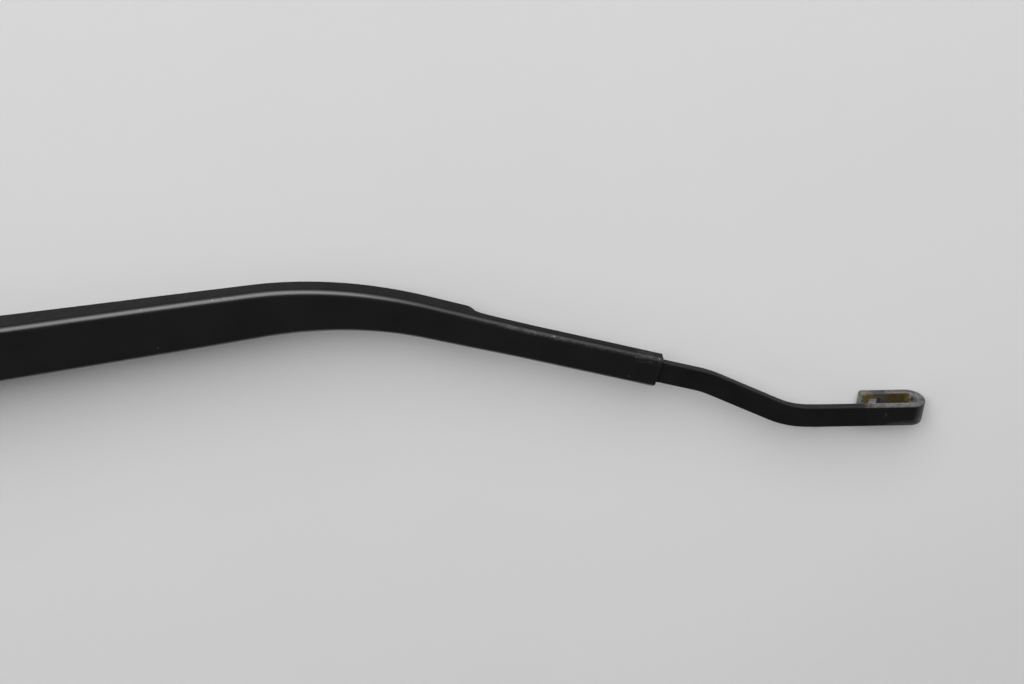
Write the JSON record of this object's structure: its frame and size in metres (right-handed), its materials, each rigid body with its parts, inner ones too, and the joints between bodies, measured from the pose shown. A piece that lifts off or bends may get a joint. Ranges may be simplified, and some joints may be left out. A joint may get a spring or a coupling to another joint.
{
  "type": "wiper arm",
  "caption": "Sprung wiper arm: a bowed, tapered steel channel hinged on a cast head, with a crimped flat bar that ends in a hook for a wiper blade.",
  "frame": {"origin": "spindle's axis at the head's lower face, where its serrated taper opens", "axes": "+Z away from the glass along the spindle's axis, +X from the spindle towards the hinge and along the channel's root run"},
  "size_m": [0.5539, 0.1087, 0.0306],
  "materials": {
    "black_paint": "satin black paint, worn grey along the edges",
    "head_casting": "die-cast, matt black coat",
    "plated_steel": "dull zinc plate",
    "bush_bronze": "sintered, oiled",
    "spring_wire": "oiled spring steel",
    "cap_plastic": "fine-grained moulding"
  },
  "bodies": {
    "head": {"mounting_head": "head_casting", "hinge_bush_left": "bush_bronze", "hinge_bush_right": "bush_bronze", "link_pin": "plated_steel", "nut_cap": "cap_plastic"},
    "arm": {"retainer": "black_paint", "arm_strip": "black_paint", "hinge_pin": "plated_steel", "spring_anchor": "plated_steel"},
    "link": {"spring_link": "plated_steel"},
    "spring": {"tension_spring": "spring_wire"}
  },
  "joints": [
    {"name": "arm_hinge", "type": "hinge", "parent": "head", "child": "arm", "pos_m": [0.049, 0, 0.013], "axis": [0, -1, 0], "range_deg": [0, 80], "stiffness_Nm_per_rad": 1, "springref_deg": -171.89, "deforming": ["tension_spring"]},
    {"name": "link_pivot", "type": "hinge", "parent": "head", "child": "link", "pos_m": [0.047, 0, 0.0069], "axis": [0, -1, 0], "range_deg": [0, 78]},
    {"name": "spring_pivot", "type": "hinge", "parent": "arm", "child": "spring", "pos_m": [0.14399, 0, 0.01115], "axis": [0, -1, 0], "range_deg": [-5, 1]}
  ],
  "couplings": [
    {"joint": "link_pivot", "follows": "arm_hinge", "ratio": 0.9491},
    {"joint": "spring_pivot", "follows": "arm_hinge", "ratio": -0.0509}
  ]
}
